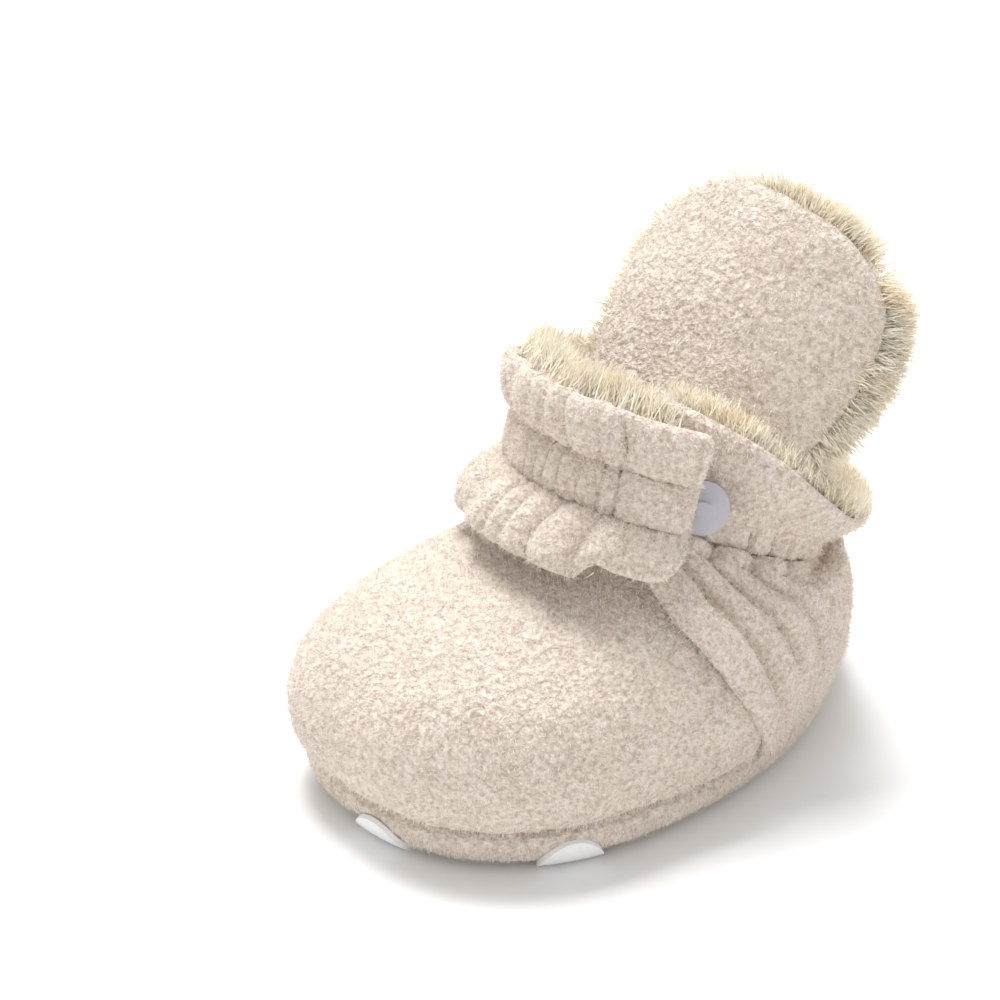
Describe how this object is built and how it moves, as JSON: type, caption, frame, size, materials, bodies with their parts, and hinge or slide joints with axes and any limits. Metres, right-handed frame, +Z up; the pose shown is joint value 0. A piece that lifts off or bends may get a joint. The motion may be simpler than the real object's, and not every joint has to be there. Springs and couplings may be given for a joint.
{
  "type": "baby bootie",
  "caption": "Soft baby bootie in oatmeal fleece with a cream plush lining, a shirred wrap-over ankle strap closed by press studs, a tall tongue and grip patches on the sole.",
  "frame": {"origin": "on the ground below the middle of the bootie", "axes": "+Z up, toe towards -Y, +X towards the outer side of the foot, where the strap closes"},
  "size_m": [0.0751, 0.1242, 0.1073],
  "materials": {
    "fleece": "brushed",
    "plush": "long pile",
    "elastic": "woven",
    "foam": "matte",
    "grip": "matte",
    "snap": "translucent satin"
  },
  "bodies": {
    "shoe": {"sole_cover": "fleece", "sole_foam": "foam", "footbed": "plush", "grip_patches": "grip", "vamp_outer": "fleece", "vamp_lining": "plush", "heel_quarter_outer": "fleece", "heel_quarter_lining": "plush", "cuff_outer": "fleece", "cuff_lining": "plush", "ankle_elastic": "elastic", "snap_studs": "snap", "stud_caps": "snap"},
    "strap": {"strap_outer": "fleece", "strap_lining": "plush", "strap_elastic": "elastic"},
    "tab": {"tab_outer": "fleece", "tab_lining": "fleece", "snap_socket": "snap", "socket_cap": "snap"},
    "tongue": {"tongue_outer": "fleece", "tongue_lining": "plush"}
  },
  "joints": [
    {"name": "strap_swing", "type": "hinge", "parent": "shoe", "child": "strap", "pos_m": [-0.03162, 0.01396, 0.05335], "axis": [0, -0.2873, -0.9578], "range_deg": [0, 75]},
    {"name": "tab_peel", "type": "hinge", "parent": "strap", "child": "tab", "pos_m": [0.01451, -0.02128, 0.06392], "axis": [0, -0.2873, -0.9578], "range_deg": [0, 80]},
    {"name": "tongue_tilt", "type": "hinge", "parent": "shoe", "child": "tongue", "pos_m": [0.0045, 0.005, 0.0718], "axis": [0.9659, 0.2588, 0], "range_deg": [-18, 15]}
  ]
}
